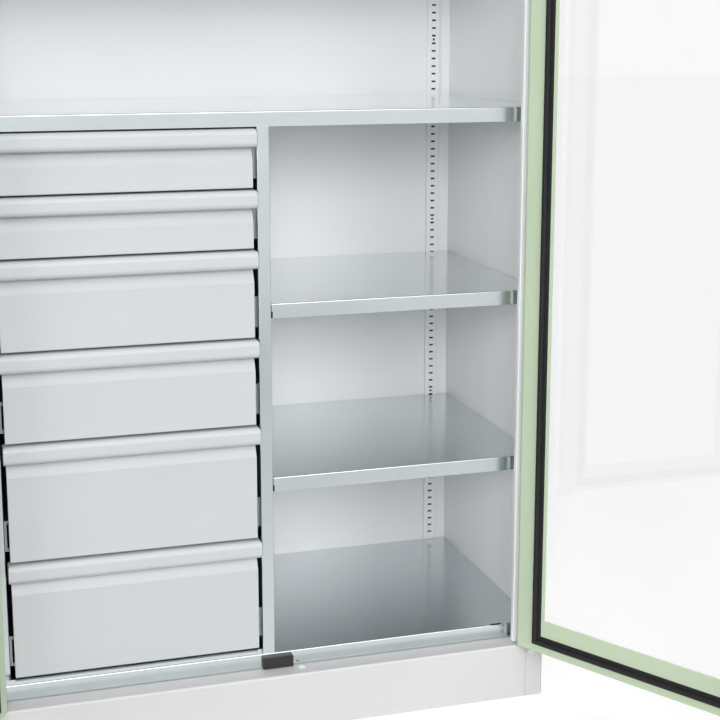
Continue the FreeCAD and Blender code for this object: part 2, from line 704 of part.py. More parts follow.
def door_stop_block():
    """Black moulded block on the sill, behind the meeting edge of the doors."""
    bottom = PLINTH_HEIGHT + SILL_GAP
    section = [
        (BLOCK_LEFT, bottom, BLOCK_RADIUS),
        (BLOCK_RIGHT, bottom, BLOCK_RADIUS),
        (BLOCK_RIGHT, bottom + BLOCK_HEIGHT, BLOCK_RADIUS),
        (BLOCK_LEFT, bottom + BLOCK_HEIGHT, BLOCK_RADIUS),
    ]
    return front_to_back(section, SHELF_FRONT - BLOCK_DEPTH, SHELF_FRONT)


def handle_plate():
    """Rounded plate on the outer face of the right door, bored for the spindle and the cylinder."""
    face = DOOR_OUTER
    half = PLATE_WIDTH / 2
    low = HANDLE_HEIGHT - PLATE_LENGTH / 2 + CYLINDER_DROP / 2
    section = [
        (ROD_X - half, low, half - WALL),
        (ROD_X + half, low, half - WALL),
        (ROD_X + half, low + PLATE_LENGTH, half - WALL),
        (ROD_X - half, low + PLATE_LENGTH, half - WALL),
    ]
    plate = front_to_back(section, face - PLATE_THICKNESS, face)
    spindle = SPINDLE_DIAMETER + 2 * RUNNING_CLEARANCE
    plate = plate.cut(across(ROD_X, HANDLE_HEIGHT, face - PLATE_THICKNESS, face, spindle))
    cylinder = CYLINDER_DIAMETER + 2 * RUNNING_CLEARANCE
    return plate.cut(across(ROD_X, HANDLE_HEIGHT + CYLINDER_DROP, face - PLATE_THICKNESS, face, cylinder))


def handle_lever():
    """Cranked lever with its hub and the spindle that passes through the door to the cam."""
    plate_face = DOOR_OUTER - PLATE_THICKNESS - COLLAR_GAP
    arm_back = DOOR_OUTER - PLATE_THICKNESS - LEVER_STANDOFF
    arm_front = arm_back - LEVER_THICKNESS
    half = LEVER_WIDTH / 2
    arm = front_to_back(
        [
            (ROD_X - half, HANDLE_HEIGHT - half, half - WALL),
            (ROD_X + LEVER_LENGTH, HANDLE_HEIGHT - half, half - WALL),
            (ROD_X + LEVER_LENGTH, HANDLE_HEIGHT + half, half - WALL),
            (ROD_X - half, HANDLE_HEIGHT + half, half - WALL),
        ],
        arm_front,
        arm_back,
    )
    front_edges = [e for e in arm.Edges if e.BoundBox.YMax < arm_front + WALL]
    arm = arm.makeChamfer(LEVER_BEVEL, front_edges)
    hub = across(ROD_X, HANDLE_HEIGHT, arm_back, plate_face, LEVER_WIDTH)
    spindle_end = DOOR_FACE + CAM_THICKNESS + COLLAR_GAP
    spindle = across(ROD_X, HANDLE_HEIGHT, plate_face, spindle_end, SPINDLE_DIAMETER)
    return arm.fuse(hub).fuse(spindle).removeSplitter()


def lock_cylinder():
    """Round lock cylinder in the handle plate, with its key slot."""
    face = DOOR_OUTER - PLATE_THICKNESS - CYLINDER_PROUD
    z = HANDLE_HEIGHT + CYLINDER_DROP
    barrel = across(ROD_X, z, face, DOOR_OUTER, CYLINDER_DIAMETER)
    rim = [e for e in barrel.Edges if e.BoundBox.YMax < face + WALL]
    barrel = barrel.makeChamfer(WALL, rim)
    half = KEY_SLOT_WIDTH / 2
    reach = KEY_SLOT_LENGTH / 2
    return barrel.cut(box(ROD_X - half, ROD_X + half, face, face + KEY_SLOT_DEPTH, z - reach, z + reach))


def lock_cam():
    """Eight-sided plate on the spindle's inner end, inside the case, that drives the two rods."""
    start = DOOR_FACE + COLLAR_GAP
    reach = CAM_LENGTH / 2
    waist = CAM_LENGTH / 4
    corners = [
        (ROD_X - waist, HANDLE_HEIGHT - reach, 0),
        (ROD_X + waist, HANDLE_HEIGHT - reach, 0),
        (ROD_X + reach, HANDLE_HEIGHT - waist, 0),
        (ROD_X + reach, HANDLE_HEIGHT + waist, 0),
        (ROD_X + waist, HANDLE_HEIGHT + reach, 0),
        (ROD_X - waist, HANDLE_HEIGHT + reach, 0),
        (ROD_X - reach, HANDLE_HEIGHT + waist, 0),
        (ROD_X - reach, HANDLE_HEIGHT - waist, 0),
    ]
    plate = front_to_back(corners, start, start + CAM_THICKNESS)
    return plate.cut(across(ROD_X, HANDLE_HEIGHT, start, start + CAM_THICKNESS, SPINDLE_DIAMETER))


def lock_case():
    """Pressed cover over the cam and the rods' inner ends, on the door's inner face."""
    half = CASE_WIDTH / 2
    low = HANDLE_HEIGHT - CASE_HEIGHT / 2
    high = HANDLE_HEIGHT + CASE_HEIGHT / 2
    far = DOOR_FACE + CASE_DEPTH
    cover = box(ROD_X - half, ROD_X + half, DOOR_FACE, far, low, high)
    rim = [e for e in cover.Edges if e.BoundBox.YMin > far - WALL]
    cover = cover.makeFillet(DOOR_EDGE_RADIUS, rim)
    inner = half - CASE_SHEET
    cover = cover.cut(box(ROD_X - inner, ROD_X + inner, DOOR_FACE, far - CASE_SHEET, low + CASE_SHEET,
                          high - CASE_SHEET))
    return cover.cut(rod(ROD_X, ROD_Y, low, high, ROD_DIAMETER + 2 * COLLAR_GAP))


def lock_rod(upper):
    """Round locking rod from the case to just inside the door's end, with a pointed tip."""
    inner = CAM_LENGTH / 2 + ROD_TIP_GAP
    point = ROD_DIAMETER / 3
    if upper:
        start, end = HANDLE_HEIGHT + inner, ROOF_BOTTOM - ROD_TIP_GAP
    else:
        start, end = PLINTH_HEIGHT + ROD_TIP_GAP, HANDLE_HEIGHT - inner
    bar = rod(ROD_X, ROD_Y, start, end, ROD_DIAMETER)
    if upper:
        tip = [e for e in bar.Edges if e.BoundBox.ZMin > end - point]
    else:
        tip = [e for e in bar.Edges if e.BoundBox.ZMax < start + point]
    return bar.makeChamfer(point, tip)


def rod_guides():
    """Guide blocks on the door's inner face, two for each rod."""
    bore = ROD_DIAMETER + 2 * RUNNING_CLEARANCE
    half = GUIDE_WIDTH / 2
    far = ROD_Y + ROD_DIAMETER / 2 + 2 * WALL
    near_case = CASE_HEIGHT / 2 + GUIDE_SETBACK
    places = (
        DOOR_BOTTOM + GUIDE_SETBACK,
        HANDLE_HEIGHT - near_case,
        HANDLE_HEIGHT + near_case,
        DOOR_TOP - GUIDE_SETBACK - GUIDE_HEIGHT,
    )
    guides = []
    for z in places:
        block = upright(
            [
                (ROD_X - half, DOOR_FACE, 0),
                (ROD_X + half, DOOR_FACE, 0),
                (ROD_X + half, far - WALL, 0),
                (ROD_X + half - WALL, far, 0),
                (ROD_X - half + WALL, far, 0),
                (ROD_X - half, far - WALL, 0),
            ],
            z,
            z + GUIDE_HEIGHT,
        )
        guides.append(block.cut(rod(ROD_X, ROD_Y, z, z + GUIDE_HEIGHT, bore)))
    return guides


def right_door_parts():
    """The right door's pieces in their closed place, by node."""
    frame = door_frame()
    spindle = SPINDLE_DIAMETER + 2 * RUNNING_CLEARANCE
    frame = frame.cut(across(ROD_X, HANDLE_HEIGHT, DOOR_OUTER, DOOR_FACE, spindle))
    return {
        "right_door_frame": [frame],
        "right_door_pane": [door_pane()],
        "right_door_seal": [door_seal()],
        "handle_plate": [handle_plate()],
        "handle_lever": [handle_lever()],
        "lock_cylinder": [lock_cylinder()],
        "lock_cam": [lock_cam()],
        "lock_case": [lock_case()],
        "upper_lock_rod": [lock_rod(True)],
        "lower_lock_rod": [lock_rod(False)],
        "rod_guides": rod_guides(),
    }


def left_door_parts():
    """The left door's pieces as they mirror onto the right side, in their closed place, by node."""
    return {
        "left_door_frame": [door_frame()],
        "left_door_pane": [door_pane()],
        "left_door_seal": [door_seal()],
        "closing_strip": [mirrored(closing_strip())],
    }


os.makedirs("parts", exist_ok=True)

save("plinth_front", plinth_front())
save("plinth_frame", plinth_frame())
save("right_side_panel", side_panel())
save("left_side_panel", mirrored(side_panel()))
save("back_panel", back_panel())
save("roof_panel", roof_panel())
save("bottom_shelf", bottom_shelf())
save("full_width_shelf", full_shelf(MAIN_SHELF_TOP))
for number, shelf_top in enumerate(UPPER_SHELF_TOPS, 1):
    save(f"upper_shelf_{number}", full_shelf(shelf_top))
save("half_shelf_lower", half_shelf(HALF_SHELF_LOWER_TOP))
save("half_shelf_upper", half_shelf(HALF_SHELF_UPPER_TOP))
save("centre_partition", centre_partition())
full_rail = shelf_rail(SILL_TOP + SHELF_END_GAP)
rail_over_drawers = shelf_rail(MAIN_SHELF_TOP + SHELF_END_GAP)
save("shelf_rails", full_rail, mirrored(rail_over_drawers))
save("shelf_clips", *shelf_clips())
save("drawer_carrier", drawer_carrier())
save("door_stop_block", door_stop_block())
save("rod_bushes", rod_bush(PLINTH_HEIGHT, -1), rod_bush(ROOF_BOTTOM, 1))

brackets = [hinge_bracket(False), hinge_bracket(True)]
save("hinge_brackets", *brackets, *[mirrored(b) for b in brackets])

cabinet_runners = []
drawer_top = DRAWERS_BOTTOM + sum(DRAWER_PITCHES)
for number, drawer_pitch in enumerate(DRAWER_PITCHES, 1):
    save(f"drawer_{number}_front", drawer_front(drawer_top, drawer_pitch))
    save(f"drawer_{number}_box", drawer_box(drawer_top, drawer_pitch))
    drawer_top -= drawer_pitch
    drawer_bottom = drawer_top + DRAWER_GAP
    save(f"drawer_{number}_runners", *runner_pair("sliding", drawer_bottom))
    save(f"drawer_{number}_middle_runners", *runner_pair("middle", drawer_bottom))
    cabinet_runners.extend(runner_pair("fixed", drawer_bottom))
save("cabinet_runners", *cabinet_runners)

for node, pieces in right_door_parts().items():
    save(node, *[opened(piece) for piece in pieces])
for node, pieces in left_door_parts().items():
    save(node, *[mirrored(opened(piece)) for piece in pieces])
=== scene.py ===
"""Dresses the two-door steel storage cabinet: finishes for its sheet metal, rubber, acrylic and plastic,
the small fixings that hold it together, and the studio it stands in. Metres, in the frame's own axes."""

import json
import math

import bmesh
import bpy
import numpy as np
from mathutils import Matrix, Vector


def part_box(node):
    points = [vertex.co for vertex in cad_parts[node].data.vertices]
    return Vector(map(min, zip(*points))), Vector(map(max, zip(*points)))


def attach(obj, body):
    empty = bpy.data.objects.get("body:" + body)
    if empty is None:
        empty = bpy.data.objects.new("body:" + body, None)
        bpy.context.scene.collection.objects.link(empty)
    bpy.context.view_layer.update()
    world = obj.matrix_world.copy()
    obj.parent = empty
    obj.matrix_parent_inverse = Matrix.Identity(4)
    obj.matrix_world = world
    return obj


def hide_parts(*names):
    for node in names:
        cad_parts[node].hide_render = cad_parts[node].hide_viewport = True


bpy.ops.wm.read_factory_settings(use_empty=True)
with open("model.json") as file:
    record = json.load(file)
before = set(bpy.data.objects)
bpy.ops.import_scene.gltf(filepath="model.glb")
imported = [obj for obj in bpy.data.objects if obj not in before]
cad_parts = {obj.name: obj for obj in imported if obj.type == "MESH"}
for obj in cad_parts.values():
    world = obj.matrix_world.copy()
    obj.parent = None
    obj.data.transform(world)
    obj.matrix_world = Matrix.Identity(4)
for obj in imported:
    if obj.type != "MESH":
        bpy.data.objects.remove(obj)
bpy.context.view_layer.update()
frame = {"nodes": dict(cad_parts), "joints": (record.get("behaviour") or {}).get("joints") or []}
nodes = frame["nodes"]

# Housing: side panels, back, roof and plinth are folded steel sheet, spot welded and coated with powder
# that fuses in an oven to a pale grey satin skin. The slotted shelf rails inside share that coat.
# The plinth, roof and pivot brackets take the same coat in a slightly darker grey, as painted shade.
# The housing's grey is painted lighter than the real coat, as painted light for the shaded compartments.
HOUSING_GREY_PAINTED_LIGHT = "#EDEEEF"
TRIM_GREY_PAINTED_SHADE = "#C3C3C3"
SATIN_ROUGHNESS = 0.42
TRIM_ROUGHNESS = 0.45
POWDER_IOR = 1.5
POWDER_SHADE = 0.025
POWDER_GLOSS_DRIFT = 0.04
POWDER_CLOUD_MM = 180.0
POWDER_PEEL_MM = 1.6
POWDER_PEEL_HEIGHT = 0.0004
POWDER_PEEL_STRENGTH = 0.06


def linear(hex_colour):
    """An sRGB hex colour as linear red, green, blue and alpha: a channel c becomes c / 12.92 up to 0.04045,
    and ((c + 0.055) / 1.055) ^ 2.4 above it."""
    channels = np.array([int(hex_colour[i : i + 2], 16) for i in (1, 3, 5)]) / 255
    low = channels / 12.92
    high = ((channels + 0.055) / 1.055) ** 2.4
    return (*np.where(channels <= 0.04045, low, high), 1.0)


def shade_pair(hex_colour, share):
    """Two linear colours, darker and lighter than a hex colour by a share of it."""
    *channels, alpha = linear(hex_colour)
    darker = np.array(channels) * (1 - share)
    lighter = np.array(channels) * (1 + share)
    return (*darker, alpha), (*lighter, alpha)


def add(tree, kind, settings=None, **links):
    """Adds one node to a tree: settings go on its properties, and each link is a value or another node's
    socket, for the input of that name, with _ for a space, or of that number, as _0."""
    node = tree.nodes.new("ShaderNode" + kind)
    for name, value in (settings or {}).items():
        setattr(node, name, value)
    for name, value in links.items():
        socket = node.inputs[int(name[1:])] if name[0] == "_" else node.inputs[name.replace("_", " ")]
        if isinstance(value, bpy.types.NodeSocket):
            tree.links.new(value, socket)
        else:
            socket.default_value = value
    return node


def new_material(name):
    """An empty node material with its tree, and the Object coordinates that every pattern reads."""
    material = bpy.data.materials.new(name)
    material.use_nodes = True
    tree = material.node_tree
    tree.nodes.clear()
    place = add(tree, "TexCoord").outputs["Object"]
    return material, tree, place


def per_metre(size_mm):
    """The texture scale whose features come out about size_mm across."""
    return 1000.0 / size_mm


def powder_coat(name, colour, roughness):
    """Powder coat: fused polyester, nearly even in colour, with a faint orange peel and a satin gloss."""
    material, tree, place = new_material(name)
    darker, lighter = shade_pair(colour, POWDER_SHADE)
    peel = add(tree, "TexNoise", Vector=place, Scale=per_metre(POWDER_PEEL_MM), Detail=2.0, Roughness=0.5)
    cloud = add(tree, "TexNoise", Vector=place, Scale=per_metre(POWDER_CLOUD_MM), Detail=3.0, Roughness=0.55)
    tint = add(tree, "Mix", {"data_type": "RGBA"}, _0=cloud.outputs["Fac"], _6=darker, _7=lighter)
    gloss = add(tree, "MapRange", Value=cloud.outputs["Fac"], To_Min=roughness - POWDER_GLOSS_DRIFT,
                To_Max=roughness + POWDER_GLOSS_DRIFT)
    relief = add(tree, "Bump", Height=peel.outputs["Fac"], Strength=POWDER_PEEL_STRENGTH,
                 Distance=POWDER_PEEL_HEIGHT)
    shader = add(tree, "BsdfPrincipled", Base_Color=tint.outputs[2], Roughness=gloss.outputs["Result"],
                 Normal=relief.outputs["Normal"], IOR=POWDER_IOR)
    add(tree, "OutputMaterial", Surface=shader.outputs["BSDF"])
    return material


def dress(material, *names):
    """Puts one finish on CAD nodes."""
    for name in names:
        nodes[name].data.materials.clear()
        nodes[name].data.materials.append(material)


# The lighter grey is painted light for the compartments; the darker trim grey is painted shade.
housing_coat_painted_light = powder_coat("powder_coat_grey_painted_light", HOUSING_GREY_PAINTED_LIGHT, SATIN_ROUGHNESS)
dress(housing_coat_painted_light, "right_side_panel", "left_side_panel", "back_panel", "shelf_rails")
trim_coat_painted_shade = powder_coat("powder_coat_trim_painted_shade", TRIM_GREY_PAINTED_SHADE, TRIM_ROUGHNESS)
dress(trim_coat_painted_shade, "plinth_front", "plinth_frame", "hinge_brackets", "roof_panel")

# Shelves, partition and drawer carrier: continuously galvanised steel strip, sealed clear, cut and folded.
# Zinc under that thin film gives a cool grey, glossy sheet with rolling lines and faint cloudy crystals.
# A sloping lip of the same strip is welded to the bottom shelf, under the lowest drawer.
ZINC_GREY = "#CDD5D8"
ZINC_ROUGHNESS = 0.2
ZINC_FILM = 1.0
ZINC_FILM_ROUGHNESS = 0.12
ZINC_SHADE = 0.05
ZINC_SMOOTHER = 0.03
ZINC_ROUGHER = 0.05
ZINC_CLOUD_MM = 90.0
ZINC_SPANGLE_MM = 14.0
ZINC_ROLLING_MM = 0.9
ZINC_ROLLING_STRETCH = 50.0
ZINC_ROLLING_HEIGHT = 0.0002
ZINC_ROLLING_STRENGTH = 0.03
LIP_LEFT_GAP = 0.001
LIP_RIGHT_GAP = 0.0005
LIP_SETBACK = 0.0021
LIP_RISE = 0.0061
MERGE_DISTANCE = 1e-7
SHARP_EDGE_DEG = 38.0


def plated_metal(name, colour, roughness, film=0.0):
    """Plated metal: its gloss wanders from crystal to crystal, and rolling lines run front to back, drawn
    coarser than real ones so that they show. A film is the weight of a clear coat over it."""
    material, tree, place = new_material(name)
    darker, lighter = shade_pair(colour, ZINC_SHADE)
    drawn_out = 1 / ZINC_ROLLING_STRETCH
    lines = add(tree, "Mapping", Vector=place, Scale=(1.0, drawn_out, drawn_out))
    rolled = add(tree, "TexNoise", Vector=lines.outputs["Vector"], Scale=per_metre(ZINC_ROLLING_MM),
                 Detail=2.0)
    spangle = add(tree, "TexVoronoi", {"feature": "SMOOTH_F1"}, Vector=place,
                  Scale=per_metre(ZINC_SPANGLE_MM))
    cloud = add(tree, "TexNoise", Vector=place, Scale=per_metre(ZINC_CLOUD_MM), Detail=3.0)
    tint = add(tree, "Mix", {"data_type": "RGBA"}, _0=cloud.outputs["Fac"], _6=darker, _7=lighter)
    gloss = add(tree, "MapRange", Value=spangle.outputs["Distance"], To_Min=roughness - ZINC_SMOOTHER,
                To_Max=roughness + ZINC_ROUGHER)
    relief = add(tree, "Bump", Height=rolled.outputs["Fac"], Strength=ZINC_ROLLING_STRENGTH,
                 Distance=ZINC_ROLLING_HEIGHT)
    shader = add(tree, "BsdfPrincipled", Base_Color=tint.outputs[2], Roughness=gloss.outputs["Result"],
                 Normal=relief.outputs["Normal"], Metallic=1.0, Coat_Weight=film,
                 Coat_Roughness=ZINC_FILM_ROUGHNESS)
    add(tree, "OutputMaterial", Surface=shader.outputs["BSDF"])
    return material


zinc_sheet = plated_metal("galvanised_steel_sheet", ZINC_GREY, ZINC_ROUGHNESS, film=ZINC_FILM)
dress(zinc_sheet, "bottom_shelf", "full_width_shelf", "upper_shelf_1", "upper_shelf_2", "half_shelf_lower",
      "half_shelf_upper", "centre_partition", "drawer_carrier")


def surface(name, grids, material, body):
    """A closed piece from one or more grids of points, each rows x columns: neighbours make four-sided faces,
    the last column joins the first, and rows that shrink to a point or meet again are merged there."""
    count, rows, columns = grids.shape[:3]
    whole, row, column = np.meshgrid(np.arange(count), np.arange(rows - 1), np.arange(columns), indexing="ij")
    start = (whole * rows + row) * columns
    after = (column + 1) % columns
    faces = np.stack([start + column, start + after, start + columns + after, start + columns + column], -1)
    mesh = bpy.data.meshes.new(name)
    mesh.from_pydata(grids.reshape(-1, 3).tolist(), [], faces.reshape(-1, 4).tolist())
    work = bmesh.new()
    work.from_mesh(mesh)
    bmesh.ops.remove_doubles(work, verts=work.verts, dist=MERGE_DISTANCE)
    bmesh.ops.recalc_face_normals(work, faces=work.faces)
    work.to_mesh(mesh)
    work.free()
    mesh.shade_smooth()
    mesh.set_sharp_from_angle(angle=math.radians(SHARP_EDGE_DEG))
    mesh.materials.append(material)
    piece = bpy.data.objects.new(name, mesh)
    bpy.context.scene.collection.objects.link(piece)
    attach(piece, body)
    return piece


def straight_bar(section, start, end):
    """A section of two coordinates, carried along the third from start to end. At both ends it is drawn in to
    its middle, which closes the bar."""
    middle = np.broadcast_to(section.mean(0), section.shape)
    rings = np.stack([middle, section, section, middle])
    along = np.array([start, start, end, end])[:, None]
    return np.dstack([rings, np.broadcast_to(along, rings.shape[:2])])


shelf_low, shelf_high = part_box("bottom_shelf")
lip_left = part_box("left_side_panel")[1].x + LIP_LEFT_GAP
lip_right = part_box("centre_partition")[0].x - LIP_RIGHT_GAP
lip_front = shelf_low.y + LIP_SETBACK
lip_section = np.array([(lip_front, shelf_high.z), (lip_front + LIP_RISE, shelf_high.z + LIP_RISE),
                        (lip_front + LIP_RISE, shelf_high.z)])
# The bar comes as (y, z, x), and a roll by one makes that (x, y, z).
lip = np.roll(straight_bar(lip_section, lip_left, lip_right), 1, axis=-1)
surface("drawer_lip", lip[None], zinc_sheet, "cabinet")

# Stop block, rod guides and handle: glass-filled nylon, moulded in black. Rod bushes are white.
# Its eroded grain breaks up the highlight, so the black reads as a deep warm grey under soft light.
# A black cap in the bend of the bottom shelf, near its right end, is painted shade for a notch there.
NYLON_BLACK_AND_SHADE = "#1B1B1A"
NYLON_WHITE = "#F2F2F0"
BLACK_NYLON_ROUGHNESS = 0.5
WHITE_NYLON_ROUGHNESS = 0.45
NYLON_IOR = 1.53
NYLON_SHADE = 0.15
NYLON_GLOSS_DRIFT = 0.06
NYLON_CLOUD_MM = 25.0
NYLON_GRAIN_MM = 0.7
NYLON_GRAIN_HEIGHT = 0.0003
NYLON_GRAIN_STRENGTH = 0.15
NOTCH_SHADE_FROM_END = 0.0743
NOTCH_SHADE_SETBACK = 0.00235
NOTCH_SHADE_HALF_LENGTH = 0.0117
NOTCH_SHADE_HALF_WIDTH = 0.0022
NOTCH_SHADE_PROUD = 0.0006
NOTCH_SHADE_ROOT = 0.0018
NOTCH_SHADE_SIDES = 40
# Shares of the cap's plan, ring by ring from its middle out, down to the root and in, and of its rise.
NOTCH_SHADE_REACH = np.array([0.0, 0.75, 0.93, 1.0, 1.0, 0.0])
NOTCH_SHADE_RISE = np.array([1.0, 0.96, 0.7, 0.0])


def moulded_nylon(name, colour, roughness):
    """Moulded nylon: a soft cloud drifts over its shade and gloss, and a bump of rounded grain, drawn coarser
    than the real one so that it shows, softens its shine."""
    material, tree, place = new_material(name)
    darker, lighter = shade_pair(colour, NYLON_SHADE)
    grain = add(tree, "TexVoronoi", Vector=place, Scale=per_metre(NYLON_GRAIN_MM))
    cloud = add(tree, "TexNoise", Vector=place, Scale=per_metre(NYLON_CLOUD_MM), Detail=2.0)
    gloss = add(tree, "MapRange", Value=cloud.outputs["Fac"], To_Min=roughness - NYLON_GLOSS_DRIFT,
                To_Max=roughness + NYLON_GLOSS_DRIFT)
    tint = add(tree, "Mix", {"data_type": "RGBA"}, _0=cloud.outputs["Fac"], _6=darker, _7=lighter)
    relief = add(tree, "Bump", Height=grain.outputs["Distance"], Strength=NYLON_GRAIN_STRENGTH,
                 Distance=NYLON_GRAIN_HEIGHT)
    shader = add(tree, "BsdfPrincipled", Base_Color=tint.outputs[2], Roughness=gloss.outputs["Result"],
                 Normal=relief.outputs["Normal"], IOR=NYLON_IOR)
    add(tree, "OutputMaterial", Surface=shader.outputs["BSDF"])
    return material


black_nylon_and_shade = moulded_nylon("moulded_black_nylon_and_painted_shade", NYLON_BLACK_AND_SHADE, BLACK_NYLON_ROUGHNESS)
dress(black_nylon_and_shade, "door_stop_block", "rod_guides", "handle_plate", "handle_lever")
white_nylon = moulded_nylon("moulded_white_nylon", NYLON_WHITE, WHITE_NYLON_ROUGHNESS)
dress(white_nylon, "rod_bushes")


def oblong_button(middle, half_length, half_width, proud, root):
    """A low button: the plan |x/a|^4 + |y/b|^4 = 1 grows over rings whose height falls from proud at its
    middle to nought at its rim, and goes straight down to the root."""
    turn = np.linspace(0, 2 * np.pi, NOTCH_SHADE_SIDES, endpoint=False)
    plan = np.stack([np.cos(turn), np.sin(turn)], -1)
    plan = np.sign(plan) * np.sqrt(np.abs(plan)) * (half_length, half_width)
    rings = plan * NOTCH_SHADE_REACH[:, None, None]
    height = np.concatenate([proud * NOTCH_SHADE_RISE, [-root, -root]])
    return np.dstack([rings, np.broadcast_to(height[:, None], rings.shape[:2])]) + middle


# The cap is painted shade: a black dash over the bend, for the shade of a notch there.
notch_shade_middle = (shelf_high.x - NOTCH_SHADE_FROM_END, shelf_low.y + NOTCH_SHADE_SETBACK, shelf_high.z)
notch_shade = oblong_button(notch_shade_middle, NOTCH_SHADE_HALF_LENGTH, NOTCH_SHADE_HALF_WIDTH, NOTCH_SHADE_PROUD, NOTCH_SHADE_ROOT)
surface("sill_notch_shade", notch_shade[None], black_nylon_and_shade, "cabinet")

# Shelf clips: small steel angles, zinc plated and blackened, hooked into the rails and the side panels.
# Flat strips in the same dark finish stand behind the rails' slots, as painted shade in the hollows.
# Each strip sits inside its rail's hollow, just behind the slotted face.
BLACKENED_ZINC_AND_SHADE = "#3A3C3E"
BLACKENED_ROUGHNESS = 0.38
RAIL_WIDTH = 0.026
SHADE_STRIP_HALF_WIDTH = 0.0095
SHADE_STRIP_NEAR = 0.0019
SHADE_STRIP_FAR = 0.0039
SHADE_STRIP_SHORT = 0.002

black_zinc_and_shade = plated_metal("blackened_zinc_and_painted_shade", BLACKENED_ZINC_AND_SHADE, BLACKENED_ROUGHNESS)
dress(black_zinc_and_shade, "shelf_clips")
rails_low, rails_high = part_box("shelf_rails")
shade_strip_top = rails_high.z - SHADE_STRIP_SHORT
# The strips are painted shade: dark sheets in the rails' hollows, behind the slots.
for hand, side, foot in (("right", 1, rails_low.z), ("left", -1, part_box("full_width_shelf")[1].z)):
    across = side * (rails_high.x - RAIL_WIDTH / 2) + SHADE_STRIP_HALF_WIDTH * np.array([-1, 1, 1, -1])
    depth = rails_low.y + np.array([SHADE_STRIP_NEAR, SHADE_STRIP_NEAR, SHADE_STRIP_FAR, SHADE_STRIP_FAR])
    shade_strip = straight_bar(np.stack([across, depth], -1), foot + SHADE_STRIP_SHORT, shade_strip_top)
    surface(f"{hand}_rail_shade_strip", shade_strip[None], black_zinc_and_shade, "cabinet")

# Telescopic runners, lock case, cam and rods: cold-rolled steel, bright zinc plated after folding.
# The plating is thin and even, so it has a softer shine than the shelves and only faint crystals.
# The case, the handle's plate and the back panel are held by round-headed socket screws of the same plate.
PLATE_GREY = "#B4B9BB"
PLATE_ROUGHNESS = 0.3
DRAWER_NUMBERS = range(1, 7)
SCREW_RADIUS = 0.0045
SCREW_HEIGHT = 0.0018
SCREW_SOCKET = 0.0016
SCREW_SINK = 0.0002
SCREW_SIDES = 48
# Shares of the head's radius over its dome, root and root's middle, and of its height over socket and dome.
SCREW_REACH = np.array([0.62, 0.88, 1.0, 1.0, 0.0])
SCREW_RISE = np.array([0.1, 0.1, 1.0, 0.94, 0.66, 0.2])
BACK_SCREW_FROM_END = 0.018
BACK_SCREW_REACH = 0.42
BACK_SCREW_COLUMNS = 7
BACK_SHEET = 0.0015
# The lock's places are those of the closed door.
LOCK_MIDDLE_X = 0.055
CASE_FACE_Y = 0.02975
CASE_SCREW_FROM_END = 0.015
PLATE_FACE_Y = -0.02925
PLATE_SCREW_FROM_END = 0.013

bright_zinc = plated_metal("bright_zinc_plate", PLATE_GREY, PLATE_ROUGHNESS)
dress(bright_zinc, "cabinet_runners", "lock_cam", "lock_case", "upper_lock_rod", "lower_lock_rod")
for number in DRAWER_NUMBERS:
    dress(bright_zinc, f"drawer_{number}_runners", f"drawer_{number}_middle_runners")

hinge = next(joint for joint in frame["joints"] if joint["name"] == "right_door_hinge")
hinge_x, hinge_y = hinge["pos_m"][:2]
door_swing = math.radians(-hinge["range_deg"][0])


def swung(points):
    """Points of the closed right door, turned about its hinge to where the door stands open at rest."""
    cosine, sine = math.cos(door_swing), math.sin(door_swing)
    x, y = points[..., 0] - hinge_x, points[..., 1] - hinge_y
    return np.stack([hinge_x + x * cosine - y * sine, hinge_y + x * sine + y * cosine, points[..., 2]], -1)


def screw_heads(places, facing):
    """Round heads at places, facing along Y one way or the other: rings whose radius and height follow a
    dome, and a six-sided socket whose radius is s cos30 / cos(angle within its side)."""
    turn = np.linspace(0, 2 * np.pi, SCREW_SIDES, endpoint=False)
    socket = SCREW_SOCKET * math.cos(math.pi / 6) / np.cos((turn % (np.pi / 3)) - np.pi / 6)
    dome = SCREW_RADIUS * np.tile(SCREW_REACH[:, None], SCREW_SIDES)
    radii = np.concatenate([[0 * socket, socket, socket], dome])
    rise = np.concatenate([SCREW_HEIGHT * SCREW_RISE, [-SCREW_SINK, -SCREW_SINK]])
    outwards = np.broadcast_to(facing * rise[:, None], radii.shape)
    head = np.stack([radii * np.cos(turn), outwards, radii * np.sin(turn)], -1)
    return np.asarray(places)[:, None, None, :] + head


for held, face, from_end, facing in (("lock_case", CASE_FACE_Y, CASE_SCREW_FROM_END, 1),
                                     ("handle_plate", PLATE_FACE_Y, PLATE_SCREW_FROM_END, -1)):
    held_low, held_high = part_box(held)
    places = [(LOCK_MIDDLE_X, face, z) for z in (held_low.z + from_end, held_high.z - from_end)]
    heads = swung(screw_heads(places, facing))
    surface(f"{held}_screws", heads, bright_zinc, "right_door")
back_low, back_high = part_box("back_panel")
back_columns = np.linspace(-BACK_SCREW_REACH, BACK_SCREW_REACH, BACK_SCREW_COLUMNS)
back_rows = (back_low.z + BACK_SCREW_FROM_END, back_high.z - BACK_SCREW_FROM_END)
back_places = [(x, back_low.y + BACK_SHEET, z) for x in back_columns for z in back_rows]
surface("back_panel_screws", screw_heads(back_places, 1), bright_zinc, "cabinet")

# Drawers: folded sheet boxes on the runners, with fronts whose top edge is rolled into a grip.
# They are powder coated all over before the runners go on, a little darker than the housing's grey.
# That darker grey is the housing's own paint made darker, as painted shade for the well-lit fronts.
DRAWER_GREY_PAINTED_SHADE = "#B6B9BB"
DRAWER_ROUGHNESS = 0.4

# The drawers' darker grey is painted shade.
drawer_coat_painted_shade = powder_coat("powder_coat_drawer_painted_shade", DRAWER_GREY_PAINTED_SHADE, DRAWER_ROUGHNESS)
for number in DRAWER_NUMBERS:
    dress(drawer_coat_painted_shade, f"drawer_{number}_front", f"drawer_{number}_box")

